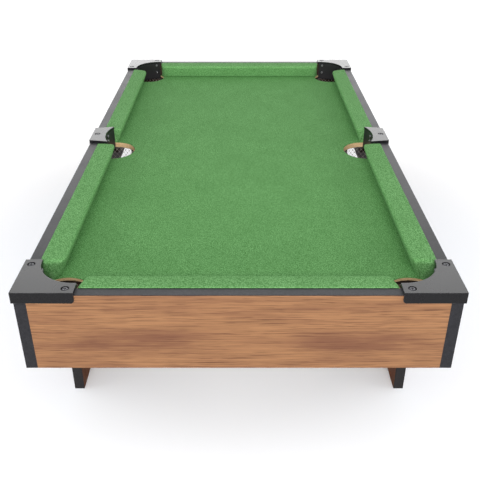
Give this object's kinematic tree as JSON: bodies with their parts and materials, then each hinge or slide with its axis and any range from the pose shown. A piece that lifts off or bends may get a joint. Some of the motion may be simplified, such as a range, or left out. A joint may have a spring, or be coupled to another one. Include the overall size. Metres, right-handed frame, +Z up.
{
  "type": "tabletop pool table",
  "caption": "Small tabletop pool table: wood-grain cabinet on short legs, green cloth playfield and cushions, and pockets with caps, black liners and hanging nets.",
  "frame": {"origin": "on the floor under the middle of the table", "axes": "+Z up, +Y along the table from its front end to its rear end, +X to the right seen from the front end"},
  "size_m": [0.481, 0.918, 0.24],
  "materials": {
    "wood_grain_panel": "satin printed wood-grain laminate, grain along the board",
    "dark_leg_board": "satin dark brown wood-grain laminate, grain upright",
    "black_edge_band": "fine matte",
    "playfield_fibreboard": "raw fibreboard, machined edges",
    "raw_softwood": "raw sawn softwood",
    "playing_cloth": "short brushed nap",
    "cushion_cloth": "short brushed nap, stretched",
    "cushion_rubber": "matte",
    "cap_plastic": "satin, polished along the edges",
    "liner_plastic": "fine matte",
    "net_cord": "knotted twine",
    "black_screw": "black oxide, glossy",
    "bright_screw": "zinc plated"
  },
  "bodies": {
    "root": {"side_panel_left": "wood_grain_panel", "side_panel_right": "wood_grain_panel", "end_panel_front": "wood_grain_panel", "end_panel_rear": "wood_grain_panel", "side_band_left": "black_edge_band", "side_band_right": "black_edge_band", "end_band_front": "black_edge_band", "end_band_rear": "black_edge_band", "playfield_board": "playfield_fibreboard", "playfield_cloth": "playing_cloth", "rail_front": "raw_softwood", "rail_rear": "raw_softwood", "rail_left_front": "raw_softwood", "rail_left_rear": "raw_softwood", "rail_right_front": "raw_softwood", "rail_right_rear": "raw_softwood", "rubber_front": "cushion_rubber", "rubber_rear": "cushion_rubber", "rubber_left_front": "cushion_rubber", "rubber_left_rear": "cushion_rubber", "rubber_right_front": "cushion_rubber", "rubber_right_rear": "cushion_rubber", "cushion_cloth_front": "cushion_cloth", "cushion_cloth_rear": "cushion_cloth", "cushion_cloth_left_front": "cushion_cloth", "cushion_cloth_left_rear": "cushion_cloth", "cushion_cloth_right_front": "cushion_cloth", "cushion_cloth_right_rear": "cushion_cloth", "corner_cap_front_left": "cap_plastic", "corner_cap_front_right": "cap_plastic", "corner_cap_rear_left": "cap_plastic", "corner_cap_rear_right": "cap_plastic", "side_cap_left": "cap_plastic", "side_cap_right": "cap_plastic", "corner_liner_front_left": "liner_plastic", "corner_liner_front_right": "liner_plastic", "corner_liner_rear_left": "liner_plastic", "corner_liner_rear_right": "liner_plastic", "side_liner_left": "liner_plastic", "side_liner_right": "liner_plastic", "net_front_left": "net_cord", "net_front_right": "net_cord", "net_rear_left": "net_cord", "net_rear_right": "net_cord", "net_side_left": "net_cord", "net_side_right": "net_cord", "playfield_cleats": "raw_softwood", "cross_battens": "raw_softwood", "leg_front_left": "dark_leg_board", "leg_front_right": "dark_leg_board", "leg_rear_left": "dark_leg_board", "leg_rear_right": "dark_leg_board", "leg_edge_bands": "black_edge_band", "cap_screws": "black_screw", "leg_bolts": "black_screw", "liner_screws": "bright_screw", "frame_screws": "bright_screw", "cleat_screws": "bright_screw", "rail_screws": "bright_screw", "net_screws": "bright_screw"}
  },
  "joints": []
}
